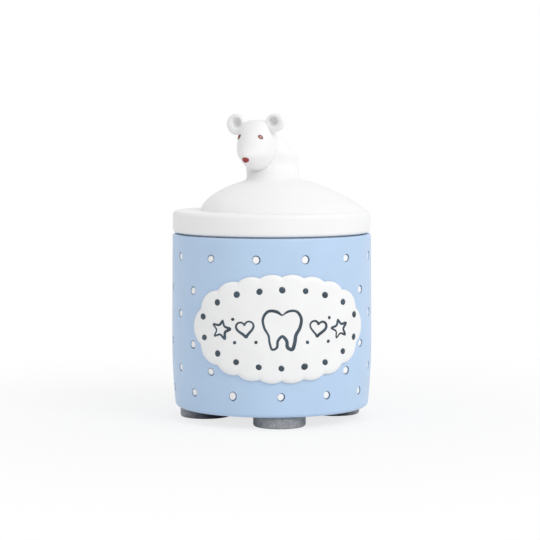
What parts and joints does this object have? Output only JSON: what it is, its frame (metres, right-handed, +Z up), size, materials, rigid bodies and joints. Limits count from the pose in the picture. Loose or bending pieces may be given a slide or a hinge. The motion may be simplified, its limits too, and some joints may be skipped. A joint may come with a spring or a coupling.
{
  "type": "baby tooth box",
  "caption": "Round keepsake pot with a dotted wall, a scalloped plaque, felt feet and a lift-off lid that carries a small sitting mouse.",
  "frame": {"origin": "on the pot's axis, at the level of the surface that the four felt feet stand on", "axes": "+Z up along the pot's axis; the plaque faces -Y, and +X is to the right of someone who faces the plaque"},
  "size_m": [0.052, 0.053, 0.079],
  "materials": {
    "blue_paint": "satin pale blue paint on cast resin",
    "white_enamel": "white enamel dots, satin",
    "plaque_paint": "satin white paint on cast resin",
    "navy_enamel": "dark slate blue enamel",
    "white_resin": "satin white paint on cast resin",
    "ring_resin": "bare white resin, satin",
    "eye_enamel": "dark red-brown enamel",
    "red_enamel": "red enamel",
    "grey_felt": "grey felt"
  },
  "bodies": {
    "jar": {"jar_shell": "blue_paint", "wall_dots": "white_enamel", "plaque": "plaque_paint", "plaque_dots": "navy_enamel", "foot_front": "grey_felt", "foot_right": "grey_felt", "foot_back": "grey_felt", "foot_left": "grey_felt"},
    "lid_ring": {"lid_seat_ring": "ring_resin"},
    "lid": {"lid_plate": "white_resin", "mouse_haunches": "white_resin", "mouse_torso": "white_resin", "mouse_head": "white_resin", "mouse_ear_left": "white_resin", "mouse_ear_right": "white_resin", "mouse_eye_left": "eye_enamel", "mouse_eye_right": "eye_enamel", "mouse_nose": "red_enamel"}
  },
  "joints": [
    {"name": "lid_lift", "type": "slide", "parent": "jar", "child": "lid_ring", "axis": [0, 0, 1], "range_m": [0, 0.04]},
    {"name": "lid_turn", "type": "hinge", "parent": "lid_ring", "child": "lid", "pos_m": [0, 0, 0.0479], "axis": [0, 0, 1], "continuous": true}
  ]
}
